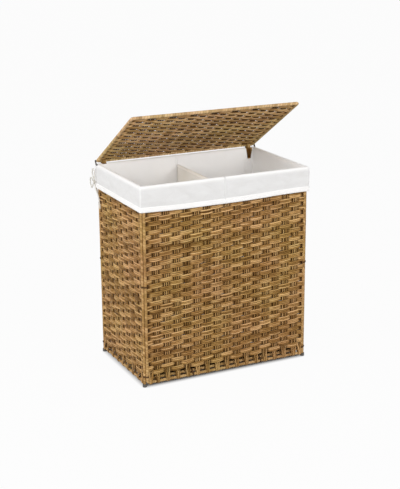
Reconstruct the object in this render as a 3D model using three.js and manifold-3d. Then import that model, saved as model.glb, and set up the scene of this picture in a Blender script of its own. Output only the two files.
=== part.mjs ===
// A laundry hamper with two bins: woven strand panels on wrapped wire frames, a woven lid on a rear
// pivot, and a cloth liner with a middle divider whose cuff folds over the rim.
// Millimetres, +Z up, +X to the hamper's right, -Y to its front. The origin is on the floor, under
// the middle of the hamper's footprint. The lid is drawn half open.
import * as THREE from "three";
import { mergeVertices } from "three/addons/utils/BufferGeometryUtils.js";
import Module from "manifold-3d";

const wasm = await Module();
wasm.setup();

// Driving dimensions of the whole hamper
const bodyWidth = 530;
const bodyDepth = 330;
const rimHeight = 588;
const lidLength = 330;
const lidOpenAngle = THREE.MathUtils.degToRad(31.9);

// Wrapped wire frames of the walls
const rodDiameter = 8;
const frameBend = 10;
const footClearance = 10;

// Woven sheets
const wallThickness = 10;
const weaveThickness = 6.6;
const weaveHollow = 1.9;
const ridgeShare = 0.35;
const hollowShare = 0.25;
const warpWidth = 15;
const longSideSpaces = 16;
const shortSideSpaces = 8;
const bottomBorder = 27;
const topBorder = 8;

// Bindings that hold the panels together
const tieThickness = 1.2;
const tieHeight = 5;
const lowTieHeight = 32;
const midTieHeight = 300;
const highTieDrop = 43;
const floorTieShare = 0.25;

// Feet
const footDiameter = 12.4;
const footFloor = 2;

// Liner
const clothThickness = 1.2;
const clothEase = 0.5;
const rollGap = 0.8;
const cuffEase = 1.1;
const cuffHeight = 73;
const hemHeight = 10;
const hemThickness = 2.2;
const bagCorner = 8;
const bagLift = 24;
const bagEdge = 16;
const cuffCorner = 12;
const dividerThickness = 2;
const dividerDrop = 27;
const dividerShift = -6;
const slitEase = 4;
const slitDepth = 35;
const slitTaper = 5;

// Lid and its hinge
const lidInset = 1;
const lidRod = 10;
const lidBend = 9;
const lidWeaveThickness = 6.6;
const lidGap = 1.5;
const hingeSetback = 1;
const pinDiameter = 4;
const bracketThickness = 1.5;
const bracketEye = 8;
const bracketFoot = 6;
const bracketDrop = 24;
const bindingThickness = 1.4;

// Drawstring
const cordDiameter = 4;
const knotWidth = 12;
const knotHeight = 14;
const knotRise = 8;

// Fits
const gap = 0.3;
const turningGap = 0.4;
const cutOverrun = 5;

// Ratios of a regular octagon, which is the section of every wrapped rod
const octagonFlat = Math.tan(Math.PI / 8);
const octagonReach = 1 / Math.cos(Math.PI / 8);

// Places that several pieces share
const rodRadius = rodDiameter / 2;
const frameY = bodyDepth / 2 - wallThickness / 2;
const frameX = bodyWidth / 2 - wallThickness / 2;
const nestStep = (rodDiameter + gap) * Math.SQRT1_2 + gap / 2;
const endRodX = frameX - nestStep;
const endRodY = frameY - nestStep;
const rimRodTop = rimHeight - clothThickness - rollGap;
const rimRodZ = rimRodTop - rodRadius;
const lowRodZ = footClearance + rodRadius;
const tieInner = rodRadius * octagonReach + gap;
const tieOuter = tieInner + tieThickness;
const lidRodRadius = lidRod / 2;
const hingeY = bodyDepth / 2 + hingeSetback;
const hingeZ = rimHeight + lidGap + lidRodRadius;
const bindingInner = lidRodRadius * octagonReach + turningGap;
const bindingOuter = bindingInner + bindingThickness;
const cuffInX = bodyWidth / 2 + cuffEase;
const cuffInY = bodyDepth / 2 + cuffEase;
const cuffOutX = cuffInX + clothThickness;
const cuffOutY = cuffInY + clothThickness;
const hemX = cuffInX + hemThickness;
const hemY = cuffInY + hemThickness;
const cuffBottom = rimHeight - cuffHeight;
const lastWarpShare = 1 - 2 / longSideSpaces;
const lidHalf = bodyWidth / 2 - lidInset;
const lidRodX = lidHalf - lidRodRadius;
const bindingFrom = Math.max(endRodX, lidRodX) * lastWarpShare + warpWidth / 2 + gap;
const bindingTo = endRodX + rodRadius - frameBend - gap;
const bindingX = (bindingFrom + bindingTo) / 2;
const bindingWidth = bindingTo - bindingFrom;
const slitWidth = bindingWidth + 2 * slitEase;
const bindingLean = Math.atan2(hingeY - frameY, hingeZ - rimRodZ);
const bindingSink = (lidWeaveThickness / 2) * Math.sin(bindingLean);
const bindingReach = (bindingOuter + bindingSink) / Math.cos(bindingLean);
const rearReach = hingeY + bindingOuter;
const frontReach = hemY;

const strand = new THREE.MeshStandardMaterial({ color: 0xa8844f, roughness: 0.6, metalness: 0 });
const wrap = new THREE.MeshStandardMaterial({ color: 0xb08d5b, roughness: 0.6, metalness: 0 });
const lidStrand = new THREE.MeshStandardMaterial({ color: 0x9a7546, roughness: 0.6, metalness: 0 });
const tieStrand = new THREE.MeshStandardMaterial({ color: 0x5b4128, roughness: 0.7, metalness: 0 });
const cloth = new THREE.MeshStandardMaterial({ color: 0xebe8e4, roughness: 0.9, metalness: 0 });
const creamCloth = new THREE.MeshStandardMaterial({ color: 0xe9e0cf, roughness: 0.9, metalness: 0 });
const darkMetal = new THREE.MeshStandardMaterial({ color: 0x2c2620, roughness: 0.5, metalness: 0.6 });
const footPlastic = new THREE.MeshStandardMaterial({ color: 0x4d4741, roughness: 0.7, metalness: 0 });
const cordCotton = new THREE.MeshStandardMaterial({ color: 0xe6dfce, roughness: 0.95, metalness: 0 });

const hamper = new THREE.Group();
const body = new THREE.Group();
const lid = new THREE.Group();
body.position.y = (frontReach - rearReach) / 2;
lid.position.set(0, hingeY, hingeZ);
lid.rotation.x = -lidOpenAngle;
hamper.add(body);
body.add(lid);

function place(group, name, geometry, material) {
  const mesh = new THREE.Mesh(geometry, material);
  mesh.name = name;
  group.add(mesh);
}

// Closed solids for cutting and joining
function solidOf(geometry) {
  const plain = geometry.index ? geometry.toNonIndexed() : geometry.clone();
  plain.deleteAttribute("normal");
  plain.deleteAttribute("uv");
  const merged = mergeVertices(plain, 1e-4);
  const vertProperties = merged.attributes.position.array;
  const triVerts = new Uint32Array(merged.index.array);
  return new wasm.Manifold(new wasm.Mesh({ numProp: 3, vertProperties, triVerts }));
}

function geometryOf(solid) {
  const { vertProperties, triVerts } = solid.getMesh();
  const geometry = new THREE.BufferGeometry();
  geometry.setAttribute("position", new THREE.BufferAttribute(vertProperties, 3));
  geometry.setIndex(new THREE.BufferAttribute(triVerts, 1));
  geometry.computeVertexNormals();
  return geometry;
}

function outlineOf(points, kind = THREE.Shape) {
  return new kind(points.map(([a, b]) => new THREE.Vector2(a, b)));
}

// The points of a rectangle with round corners, from its low corner to its high corner.
// A corner whose radius is zero stays square. The radii go round from the low left corner.
function roundedPoints(low, high, radii, steps = 3) {
  const corners = [
    [low[0], low[1], 1, 1, Math.PI],
    [high[0], low[1], -1, 1, 1.5 * Math.PI],
    [high[0], high[1], -1, -1, 0],
    [low[0], high[1], 1, -1, 0.5 * Math.PI],
  ];
  const points = [];
  corners.forEach(([a, b, inA, inB, from], corner) => {
    const radius = radii[corner];
    if (radius === 0) {
      points.push([a, b]);
      return;
    }
    for (let step = 0; step <= steps; step += 1) {
      const turn = from + (step / steps) * (Math.PI / 2);
      const centreA = a + inA * radius;
      const centreB = b + inB * radius;
      points.push([centreA + radius * Math.cos(turn), centreB + radius * Math.sin(turn)]);
    }
  });
  return points;
}

// A wrapped rod bent to an outline, lying in the X-Y plane and centred on it
function rodRing(outer, inner, rod) {
  const shape = outlineOf(outer);
  shape.holes.push(outlineOf(inner, THREE.Path));
  const flat = rod * octagonFlat;
  const chamfer = (rod - flat) / 2;
  const geometry = new THREE.ExtrudeGeometry(shape, {
    depth: flat,
    bevelEnabled: true,
    bevelThickness: chamfer,
    bevelSize: chamfer,
    bevelOffset: -chamfer,
    bevelSegments: 1,
  });
  return geometry.translate(0, 0, -flat / 2);
}

// A plate cut to an outline in the X-Y plane and centred on it
function plate(shape, thickness) {
  const geometry = new THREE.ExtrudeGeometry(shape, { depth: thickness, bevelEnabled: false });
  return geometry.translate(0, 0, -thickness / 2);
}

// The outline that a taut band makes round two circles
function bandPoints(a, radiusA, b, radiusB, steps = 5) {
  const angle = Math.atan2(b[1] - a[1], b[0] - a[0]);
  const spread = Math.acos((radiusA - radiusB) / Math.hypot(b[0] - a[0], b[1] - a[1]));
  const points = [];
  for (let step = 0; step <= steps; step += 1) {
    const turn = angle + spread + (step / steps) * (2 * Math.PI - 2 * spread);
    points.push([a[0] + radiusA * Math.cos(turn), a[1] + radiusA * Math.sin(turn)]);
  }
  for (let step = 0; step <= steps; step += 1) {
    const turn = angle - spread + (step / steps) * 2 * spread;
    points.push([b[0] + radiusB * Math.cos(turn), b[1] + radiusB * Math.sin(turn)]);
  }
  return points;
}

function band(a, radiusA, b, radiusB, thickness, width) {
  const shape = outlineOf(bandPoints(a, radiusA + thickness, b, radiusB + thickness));
  shape.holes.push(outlineOf(bandPoints(a, radiusA, b, radiusB), THREE.Path));
  return plate(shape, width);
}

// The ridges of a woven sheet, which run along Y on both faces. The sheet is full where the weft
// passes over a warp, and thinner halfway to the next warp.
function ridgedSlab(warps, pitch, thickness, length) {
  const places = [warps[0] - pitch, ...warps, warps[warps.length - 1] + pitch];
  const upper = places.flatMap((x) => [
    [x - (pitch * ridgeShare) / 2, thickness / 2],
    [x + (pitch * ridgeShare) / 2, thickness / 2],
    [x + (pitch * (1 - hollowShare)) / 2, thickness / 2 - weaveHollow],
    [x + (pitch * (1 + hollowShare)) / 2, thickness / 2 - weaveHollow],
  ]);
  const lower = upper.map(([x, z]) => [x, -z]).reverse();
  return plate(outlineOf([...upper, ...lower]), length).rotateX(Math.PI / 2);
}

// A woven sheet, centred in the X-Y plane. Its warps run along Y and reach past the weft at both
// ends to wrap round the rods there, so each end has an open border between the warps.
function wovenSheet({ width, low, high, lowBorder, highBorder, pitch, count, thickness }) {
  const warps = Array.from({ length: count }, (_, i) => (i - (count - 1) / 2) * pitch);
  const slab = ridgedSlab(warps, pitch, thickness, high - low).translate(0, (low + high) / 2, 0);
  const points = [[-width / 2, low + lowBorder]];
  for (const x of warps) {
    points.push([x - warpWidth / 2, low + lowBorder]);
    points.push([x - warpWidth / 2, low]);
    points.push([x + warpWidth / 2, low]);
    points.push([x + warpWidth / 2, low + lowBorder]);
  }
  points.push([width / 2, low + lowBorder]);
  points.push([width / 2, high - highBorder]);
  for (const x of warps.reverse()) {
    points.push([x + warpWidth / 2, high - highBorder]);
    points.push([x + warpWidth / 2, high]);
    points.push([x - warpWidth / 2, high]);
    points.push([x - warpWidth / 2, high - highBorder]);
  }
  points.push([-width / 2, high - highBorder]);
  const flat = plate(outlineOf(points), thickness);
  return geometryOf(solidOf(flat).intersect(solidOf(slab)));
}

// Wall panels. The front and back are plain bent rings. The side frames carry the four legs.
const ringBottom = lowRodZ - rodRadius;
const ringRadii = Array(4).fill(frameBend);
const innerRadii = Array(4).fill(frameBend - rodDiameter);

function wallRing(endRod) {
  const outer = roundedPoints(
    [-endRod - rodRadius, ringBottom],
    [endRod + rodRadius, rimRodTop],
    ringRadii,
  );
  return rodRing(outer, wallOpening(endRod), rodDiameter);
}

function wallOpening(endRod) {
  return roundedPoints(
    [-endRod + rodRadius, lowRodZ + rodRadius],
    [endRod - rodRadius, rimRodZ - rodRadius],
    innerRadii,
  );
}

function leggedRing(endRod) {
  const legEnd = footFloor + gap;
  const top = roundedPoints(
    [-endRod - rodRadius, legEnd],
    [endRod + rodRadius, rimRodTop],
    [0, 0, frameBend, frameBend],
  );
  const outer = [
    top[0],
    [-endRod + rodRadius, legEnd],
    [-endRod + rodRadius, ringBottom],
    [endRod - rodRadius, ringBottom],
    [endRod - rodRadius, legEnd],
    ...top.slice(1),
  ];
  return rodRing(outer, wallOpening(endRod), rodDiameter);
}

function wallWeave(endRod, spaces) {
  return wovenSheet({
    width: 2 * (endRod - tieOuter - gap),
    low: lowRodZ + rodRadius + gap,
    high: rimRodZ - rodRadius - gap,
    lowBorder: bottomBorder,
    highBorder: topBorder,
    pitch: (2 * endRod) / spaces,
    count: spaces - 1,
    thickness: weaveThickness,
  });
}

// Stands a flat panel up in the X-Z plane, or in the Y-Z plane
const standFront = (geometry) => geometry.rotateX(Math.PI / 2);
const standSide = (geometry) => geometry.rotateX(Math.PI / 2).rotateZ(Math.PI / 2);

for (const [name, side] of [["front", -1], ["back", 1]]) {
  const y = side * frameY;
  place(body, `${name}_frame`, standFront(wallRing(endRodX)).translate(0, y, 0), wrap);
  const weave = standFront(wallWeave(endRodX, longSideSpaces)).translate(0, y, 0);
  place(body, `${name}_weave`, weave, strand);
}

for (const [name, side] of [["left", -1], ["right", 1]]) {
  const x = side * frameX;
  place(body, `${name}_frame`, standSide(leggedRing(endRodY)).translate(x, 0, 0), wrap);
  const weave = standSide(wallWeave(endRodY, shortSideSpaces)).translate(x, 0, 0);
  place(body, `${name}_weave`, weave, strand);
}

// Bottom panel, which lies inside the walls just above their lowest rods
const floorZ = lowRodZ + rodRadius + gap + rodRadius;
const floorX = bodyWidth / 2 - wallThickness - clothEase;
const floorY = bodyDepth / 2 - wallThickness - clothEase;
const floorOuter = roundedPoints([-floorX, -floorY], [floorX, floorY], ringRadii);
const floorInner = roundedPoints(
  [-floorX + rodDiameter, -floorY + rodDiameter],
  [floorX - rodDiameter, floorY - rodDiameter],
  innerRadii,
);
const floorFrame = rodRing(floorOuter, floorInner, rodDiameter).translate(0, 0, floorZ);
place(body, "bottom_frame", floorFrame, wrap);

const floorWeave = wovenSheet({
  width: 2 * (floorX - rodDiameter - tieThickness - 2 * gap),
  low: -floorY + rodDiameter + gap,
  high: floorY - rodDiameter - gap,
  lowBorder: topBorder,
  highBorder: topBorder,
  pitch: (2 * endRodX) / longSideSpaces,
  count: longSideSpaces - 1,
  thickness: weaveThickness,
});
place(body, "bottom_weave", floorWeave.translate(0, 0, floorZ), strand);

// Ties of the bottom frame to the lowest rods of the walls, in the open border between two warps
const floorRodX = floorX - rodRadius;
const floorRodY = floorY - rodRadius;
const longPitch = (2 * endRodX) / longSideSpaces;
const tieX = Math.round((endRodX * 2 * floorTieShare) / longPitch) * longPitch - longPitch / 2;

for (const [name, side] of [["front", -1], ["back", 1]]) {
  for (const [end, x] of [["left", -tieX], ["right", tieX]]) {
    const wallRod = [side * frameY, lowRodZ];
    const floorRod = [side * floorRodY, floorZ];
    const tie = band(wallRod, tieInner, floorRod, tieInner, tieThickness, tieHeight);
    const turned = tie.rotateX(Math.PI / 2).rotateZ(Math.PI / 2).translate(x, 0, 0);
    place(body, `floor_tie_${name}_${end}`, turned, tieStrand);
  }
}

// Ties round the two nested rods at each corner
const tieHeights = {
  low: lowTieHeight,
  middle: midTieHeight,
  high: rimHeight - highTieDrop,
};
for (const [row, front] of [["front", -1], ["back", 1]]) {
  for (const [column, right] of [["left", -1], ["right", 1]]) {
    const longRod = [right * endRodX, front * frameY];
    const shortRod = [right * frameX, front * endRodY];
    for (const [level, z] of Object.entries(tieHeights)) {
      const tie = band(longRod, tieInner, shortRod, tieInner, tieThickness, tieHeight);
      place(body, `corner_tie_${row}_${column}_${level}`, tie.translate(0, 0, z), tieStrand);
    }
  }
}

// Feet: caps pushed onto the legs of the side frames
const footSocket = rodRadius * octagonReach + gap;
const footProfile = [
  [0, 0],
  [footDiameter / 2, 0],
  [footDiameter / 2, ringBottom - gap],
  [footSocket, ringBottom - gap],
  [footSocket, footFloor],
  [0, footFloor],
].map(([r, z]) => new THREE.Vector2(r, z));

for (const [row, front] of [["front", -1], ["back", 1]]) {
  for (const [column, right] of [["left", -1], ["right", 1]]) {
    const foot = new THREE.LatheGeometry(footProfile, 16).rotateX(Math.PI / 2);
    foot.translate(right * frameX, front * endRodY, 0);
    place(body, `foot_${row}_${column}`, foot, footPlastic);
  }
}

// Liner bag with its cuff: one cloth shell that goes up inside, over the rim and down outside
const bagInX = floorX - clothThickness;
const bagInY = floorY - clothThickness;
const bagFloor = floorZ + rodRadius + bagLift;
const edgeZ = bagFloor + clothThickness + bagEdge;
const rollOuter = (cuffOutX - bagInX) / 2;
const rollInner = rollOuter - clothThickness;
const rollZ = rimHeight - rollOuter;
const cuffEdge = cuffBottom + hemHeight + gap;
const rollSteps = 6;
const edgeSteps = 3;

function loopAt(reach, z) {
  const share = reach / (cuffOutX - bagInX);
  const radius = bagCorner + share * (cuffCorner - bagCorner);
  const halfX = bagInX + reach;
  const halfY = bagInY + reach;
  return roundedPoints([-halfX, -halfY], [halfX, halfY], Array(4).fill(radius)).map(
    ([x, y]) => [x, y, z],
  );
}

function rollLoops(radius, from, to) {
  return Array.from({ length: rollSteps + 1 }, (_, step) => {
    const turn = from + ((to - from) * step) / rollSteps;
    return loopAt(rollOuter + radius * Math.cos(turn), rollZ + radius * Math.sin(turn));
  });
}

// The round lower edge of the bag, from its wall to its floor
function edgeLoops(radius) {
  return Array.from({ length: edgeSteps + 1 }, (_, step) => {
    const turn = ((step / edgeSteps) * Math.PI) / 2;
    return loopAt(radius * Math.cos(turn) - bagEdge, edgeZ - radius * Math.sin(turn));
  });
}

// Joins loops of points one after the other and closes the first and the last
function skin(loops) {
  const count = loops[0].length;
  const index = [];
  loops.slice(1).forEach((_, row) => {
    for (let i = 0; i < count; i += 1) {
      const a = row * count + i;
      const b = row * count + ((i + 1) % count);
      index.push(a, b + count, b, a, a + count, b + count);
    }
  });
  const last = (loops.length - 1) * count;
  for (let i = 1; i < count - 1; i += 1) {
    index.push(0, i, i + 1);
    index.push(last, last + i + 1, last + i);
  }
  const geometry = new THREE.BufferGeometry();
  geometry.setAttribute("position", new THREE.Float32BufferAttribute(loops.flat(2), 3));
  geometry.setIndex(index);
  return geometry;
}

const linerLoops = [
  ...edgeLoops(bagEdge).reverse(),
  ...rollLoops(rollOuter, Math.PI, 0),
  loopAt(2 * rollOuter, cuffEdge),
  loopAt(2 * rollOuter - clothThickness, cuffEdge),
  ...rollLoops(rollInner, 0, Math.PI),
  ...edgeLoops(bagEdge + clothThickness),
];

// Slits in the back of the cuff and bag, one for each hinge binding, narrower at their lower end
function slitCut(x) {
  const half = slitWidth / 2;
  const shape = outlineOf([
    [x - half + slitTaper, rimHeight - slitDepth],
    [x + half - slitTaper, rimHeight - slitDepth],
    [x + half, rimHeight - slitTaper],
    [x + half, rimHeight + cutOverrun],
    [x - half, rimHeight + cutOverrun],
    [x - half, rimHeight - slitTaper],
  ]);
  return standFront(plate(shape, 2 * rollOuter + 2 * cutOverrun)).translate(0, frameY, 0);
}

// Pivot brackets stand on the side frames' rear legs. Each leaves the cuff through a narrow cut.
const bracketX = Math.max(frameX + rodRadius, lidHalf) + gap + bracketThickness / 2;
const bracketFootAt = [endRodY, hingeZ - bracketDrop];

function bracketPlate(shape, thickness, side) {
  const upright = plate(shape, thickness).rotateX(Math.PI / 2).rotateZ(Math.PI / 2);
  return upright.translate(side * bracketX, 0, 0);
}

function bracketOutline(allowance) {
  const eye = bracketEye / 2 + allowance;
  const foot = bracketFoot / 2 + allowance;
  return outlineOf(bandPoints([hingeY, hingeZ], eye, bracketFootAt, foot, 8));
}

function bracketCut(side) {
  return bracketPlate(bracketOutline(gap), bracketThickness + 2 * gap, side);
}

let linerSolid = solidOf(skin(linerLoops));
for (const side of [-1, 1]) {
  linerSolid = linerSolid.subtract(solidOf(slitCut(side * bindingX)));
  linerSolid = linerSolid.subtract(solidOf(bracketCut(side)));
}
place(body, "liner_bag", geometryOf(linerSolid), cloth);

// Drawstring casing along the lower edge of the cuff
const hemShape = outlineOf(
  roundedPoints([-hemX, -hemY], [hemX, hemY], Array(4).fill(cuffCorner + hemThickness / 2)),
);
hemShape.holes.push(
  outlineOf(
    roundedPoints([-cuffInX, -cuffInY], [cuffInX, cuffInY], Array(4).fill(cuffCorner - clothThickness)),
    THREE.Path,
  ),
);
place(body, "liner_hem", plate(hemShape, hemHeight).translate(0, 0, cuffBottom + hemHeight / 2), cloth);

// Divider between the bins
const dividerBottom = bagFloor + clothThickness + gap;
const dividerTop = rimHeight - dividerDrop;
const dividerEdge = bagEdge - gap;
const dividerShape = roundedPoints(
  [gap - bagInY, dividerBottom],
  [bagInY - gap, dividerTop],
  [dividerEdge, dividerEdge, 0, 0],
  edgeSteps,
);
const divider = standSide(plate(outlineOf(dividerShape), dividerThickness));
place(body, "liner_divider", divider.translate(dividerShift, 0, 0), creamCloth);

// Hinge: strand bindings round the lid's rear rod and the rim, and pivot brackets at both ends
for (const [name, side] of [["left", -1], ["right", 1]]) {
  const rimRod = [frameY, rimRodZ];
  const binding = band(
    [hingeY, hingeZ],
    bindingInner,
    rimRod,
    tieInner,
    bindingThickness,
    bindingWidth,
  );
  const turned = binding.rotateX(Math.PI / 2).rotateZ(Math.PI / 2);
  place(body, `hinge_binding_${name}`, turned.translate(side * bindingX, 0, 0), wrap);

  const shape = bracketOutline(0);
  const hole = new THREE.Path();
  hole.absarc(hingeY, hingeZ, pinDiameter / 2 + turningGap, 0, 2 * Math.PI);
  shape.holes.push(hole);
  place(body, `hinge_bracket_${name}`, bracketPlate(shape, bracketThickness, side), darkMetal);
}

// Lid: drawn from its rear rod, which is the hinge line, towards its free edge
const lidReach = lidLength - lidRod;
const lidOuter = roundedPoints(
  [-lidHalf, -lidReach - lidRodRadius],
  [lidHalf, lidRodRadius],
  Array(4).fill(lidBend),
);
const lidInner = roundedPoints(
  [-lidHalf + lidRod, -lidReach + lidRodRadius],
  [lidHalf - lidRod, -lidRodRadius],
  Array(4).fill(lidBend / 4),
);
let lidFrame = solidOf(rodRing(lidOuter, lidInner, lidRod));
const pinLength = bracketX + bracketThickness / 2 + gap - lidHalf + lidRod;
for (const side of [-1, 1]) {
  const pin = new THREE.CylinderGeometry(pinDiameter / 2, pinDiameter / 2, pinLength, 12);
  pin.rotateZ(Math.PI / 2).translate(side * (lidHalf - lidRod + pinLength / 2), 0, 0);
  lidFrame = lidFrame.add(solidOf(pin));
}
place(lid, "lid_frame", geometryOf(lidFrame), wrap);

const lidBorder = bindingReach + turningGap - lidRodRadius;
const lidWeave = wovenSheet({
  width: 2 * (lidHalf - lidRod - gap),
  low: -lidReach + lidRodRadius + gap,
  high: -lidRodRadius - gap,
  lowBorder: lidBorder,
  highBorder: lidBorder,
  pitch: (2 * (lidHalf - lidRodRadius)) / longSideSpaces,
  count: longSideSpaces - 1,
  thickness: lidWeaveThickness,
});
place(lid, "lid_weave", lidWeave, lidStrand);

// Drawstring: a knot against the cuff's rear left corner, two bow loops and two tails.
// Each route's points are steps from the knot's middle.
const knotTurn = THREE.MathUtils.degToRad(154);
const knotReach = cuffCorner + knotWidth / 2 + gap;
const knot = new THREE.Vector3(
  -cuffOutX + cuffCorner + knotReach * Math.cos(knotTurn),
  cuffOutY - cuffCorner + knotReach * Math.sin(knotTurn),
  cuffBottom + hemHeight + knotRise,
);
const knotBall = new THREE.SphereGeometry(knotWidth / 2, 10, 8);
knotBall.scale(1, 1, knotHeight / knotWidth).translate(knot.x, knot.y, knot.z);
place(body, "drawstring_knot", knotBall, cordCotton);

function cordTube(route, steps, sides) {
  const points = route.map((step) => new THREE.Vector3(...step).add(knot));
  const section = outlineOf(
    Array.from({ length: sides }, (_, i) => {
      const turn = (2 * Math.PI * i) / sides;
      return [(cordDiameter / 2) * Math.cos(turn), (cordDiameter / 2) * Math.sin(turn)];
    }),
  );
  const path = new THREE.CatmullRomCurve3(points);
  return new THREE.ExtrudeGeometry(section, { steps, extrudePath: path, bevelEnabled: false });
}

const upperLoop = [
  [0, 2.4, 7.4],
  [-0.5, 6, 13],
  [-1, 10.5, 21],
  [-1.5, 12, 29],
  [-1.5, 8, 37],
  [-1.5, 1, 40],
  [-1.5, -5, 35],
  [-1, -6.5, 27],
  [-0.5, -5, 17],
  [0, -2.4, 7.4],
];
const rearLoop = [
  [-2.8, 6.2, 3.4],
  [-3.5, 9.5, 8.5],
  [-4, 16, 11],
  [-4, 22, 6],
  [-4, 23, -3],
  [-4, 20, -12],
  [-4, 14, -18],
  [-4, 8, -16],
  [-3.5, 5.5, -10.5],
  [-3.2, 4, -6.9],
];
const sideTail = [
  [1, -1, -7.4],
  [1, -2, -12],
  [1.6, -6, -20.5],
  [3, -12, -30],
  [4, -20, -41],
  [4.2, -25, -55],
  [4.2, -29, -75],
];
const rearTail = [
  [1.5, 3.5, -6.9],
  [4, 6, -13],
  [8, 7, -22],
  [12, 6, -33],
  [14, 4.5, -46],
  [14.5, 4, -62],
];
const cordSides = 8;
place(body, "drawstring_loop_upper", cordTube(upperLoop, 16, cordSides), cordCotton);
place(body, "drawstring_loop_rear", cordTube(rearLoop, 16, cordSides), cordCotton);
place(body, "drawstring_tail_side", cordTube(sideTail, 9, cordSides), cordCotton);
place(body, "drawstring_tail_rear", cordTube(rearTail, 7, cordSides), cordCotton);

export default hamper;
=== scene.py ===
import math

import bmesh
import bpy
import numpy as np
from mathutils import Matrix, Vector, noise


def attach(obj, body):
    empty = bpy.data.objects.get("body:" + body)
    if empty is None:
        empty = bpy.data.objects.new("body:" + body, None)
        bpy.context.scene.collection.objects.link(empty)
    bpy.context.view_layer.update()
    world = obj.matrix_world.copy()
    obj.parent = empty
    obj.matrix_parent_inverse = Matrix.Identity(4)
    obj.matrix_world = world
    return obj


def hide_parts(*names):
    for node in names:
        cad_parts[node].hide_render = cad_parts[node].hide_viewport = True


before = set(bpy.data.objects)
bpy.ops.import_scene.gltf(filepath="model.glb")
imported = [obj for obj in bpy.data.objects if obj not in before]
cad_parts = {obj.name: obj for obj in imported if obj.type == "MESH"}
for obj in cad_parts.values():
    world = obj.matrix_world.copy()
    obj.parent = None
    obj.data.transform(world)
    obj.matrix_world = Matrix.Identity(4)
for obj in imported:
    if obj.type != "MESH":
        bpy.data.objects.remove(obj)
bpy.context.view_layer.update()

# Camera
# It stands to the hamper's front left and looks down on the rim, from where the photograph
# was taken. Its frame is 400 x 489.
camera_spot = Vector((-1.44352, -2.947436, 1.32433))
camera_turn = -0.45392
camera_dip = 0.28975
camera_roll = -0.00799
focal_pixels = 1152.17
frame_height = 489
sensor_size = 36

forward = Vector((
    -math.sin(camera_turn) * math.cos(camera_dip),
    math.cos(camera_turn) * math.cos(camera_dip),
    -math.sin(camera_dip),
))
level_right = forward.cross(Vector((0, 0, 1))).normalized()
level_up = level_right.cross(forward)
camera_right = level_right * math.cos(camera_roll) + level_up * math.sin(camera_roll)
camera_up = level_up * math.cos(camera_roll) - level_right * math.sin(camera_roll)

camera_data = bpy.data.cameras.new("camera")
camera_data.sensor_width = sensor_size
camera_data.lens = focal_pixels * sensor_size / frame_height
camera_data.clip_start = 0.05
camera_data.clip_end = 100
camera = bpy.data.objects.new("camera", camera_data)
bpy.context.collection.objects.link(camera)
camera_turned = Matrix((camera_right, camera_up, -forward)).transposed()
camera.matrix_world = Matrix.Translation(camera_spot) @ camera_turned.to_4x4()
bpy.context.scene.camera = camera

# Drawstring
# A twisted three-ply cotton cord, 4 mm thick. It comes out of the casing at the rear left
# corner and is tied there in a bow: a knot, two loops and two tails.
mm = 0.001
cord_diameter = 4 * mm
cord_lay = 9 * mm
cord_spacing = 0.8 * mm
knot_middle = np.array((-271.748, 160.866, 533.0)) * mm


def connect(tree, node, inputs):
    """Sets the inputs of a node, and links those that come from another node."""
    for key, value in inputs.items():
        if isinstance(value, bpy.types.NodeSocket):
            tree.links.new(value, node.inputs[key])
        else:
            node.inputs[key].default_value = value


def grow(tree, kind, inputs, output=0, **settings):
    """Adds one node to a material and gives one of its outputs."""
    made = tree.nodes.new(f"ShaderNode{kind}")
    for key, value in settings.items():
        setattr(made, key, value)
    connect(tree, made, inputs)
    return made.outputs[output]


def reckon(tree, operation, *values, kind="Math", output=0):
    """A product, a sum or the like. Its kind is VectorMath where the values are vectors."""
    return grow(tree, kind, dict(enumerate(values)), output, operation=operation)


def speckle(tree, spot, scale, detail, distortion=0):
    """Smooth noise from 0 to 1."""
    inputs = {"Vector": spot, "Scale": scale, "Detail": detail, "Distortion": distortion}
    return grow(tree, "TexNoise", inputs, "Fac")


def bump(tree, height, strength, distance, under=None):
    """Fine relief, laid over the relief under it if there is one."""
    inputs = {"Height": height, "Strength": strength, "Distance": distance}
    if under is not None:
        inputs["Normal"] = under
    return grow(tree, "Bump", inputs)


def read_layer(tree, name):
    """The numbers that a piece's mesh holds in a float layer."""
    return grow(tree, "Attribute", {}, "Fac", attribute_name=name)


def new_material(name):
    """A material with its node tree and its surface shader."""
    made = bpy.data.materials.new(name)
    made.use_nodes = True
    return made, made.node_tree, made.node_tree.nodes["Principled BSDF"]


def ramp(tree, factor, stops):
    """A colour ramp through (place, colour) stops."""
    made = tree.nodes.new("ShaderNodeValToRGB")
    connect(tree, made, {"Fac": factor})
    elements = made.color_ramp.elements
    while len(elements) < len(stops):
        elements.new(1)
    for element, (place, colour) in zip(elements, stops):
        element.position = place
        element.color = (*colour, 1)
    return made.outputs["Color"]


def make_object(name, bm, material):
    """Puts a finished bmesh into the scene as an object."""
    mesh = bpy.data.meshes.new(name)
    bm.to_mesh(mesh)
    bm.free()
    mesh.materials.append(material)
    made = bpy.data.objects.new(name, mesh)
    bpy.context.collection.objects.link(made)
    return made


def add_piece(name, bm, material, slot, *nodes, body="hamper"):
    """Makes a finished bmesh into a piece that rides on a body and stands for CAD nodes."""
    made = make_object(name, bm, material)
    made.data.polygons.foreach_set("use_smooth", [True] * len(made.data.polygons))
    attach(made, body)
    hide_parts(*nodes)
    return made


def pace(points, spacing, least=2):
    """How far along a line each of its points is, and even steps along the line."""
    run = np.concatenate([[0], np.cumsum(np.linalg.norm(np.diff(points, axis=0), axis=1))])
    return run, np.linspace(0, run[-1], max(least, round(run[-1] / spacing)) + 1)


def follow(values, run, steps):
    """The values of a line's points, read at the steps along it."""
    return np.stack([np.interp(steps, run, column) for column in values.T], axis=1)


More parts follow.
